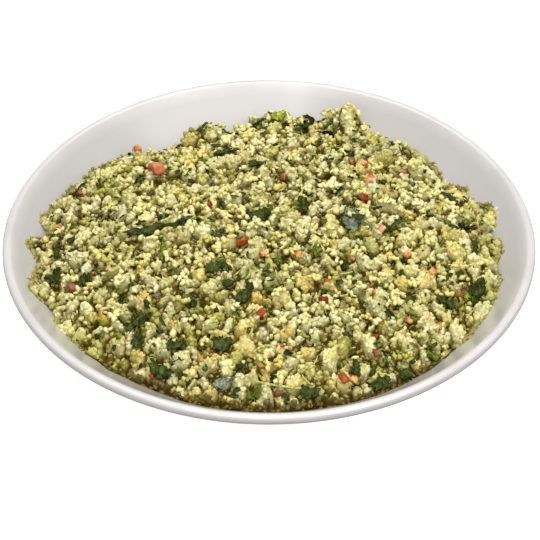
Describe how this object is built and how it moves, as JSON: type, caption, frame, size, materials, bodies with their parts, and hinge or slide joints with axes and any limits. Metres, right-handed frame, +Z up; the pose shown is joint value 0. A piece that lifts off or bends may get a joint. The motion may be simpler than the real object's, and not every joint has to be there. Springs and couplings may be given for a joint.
{
  "type": "bowl of tabbouleh salad",
  "caption": "Tabbouleh of couscous, chopped herbs and diced tomato, heaped in a wide white porcelain salad bowl with a rolled lip and a foot ring.",
  "frame": {"origin": "middle of the bowl's foot, on the surface it stands on", "axes": "+Z up; the bowl is round about Z, and the pictured side of the heap faces -Y, with +X to its right"},
  "size_m": [0.26, 0.26, 0.0788],
  "materials": {
    "porcelain": "glossy white glaze",
    "salad": "moist cooked couscous mixed with chopped herbs and diced tomato"
  },
  "bodies": {
    "root": {"bowl": "porcelain", "salad": "salad"}
  },
  "joints": []
}
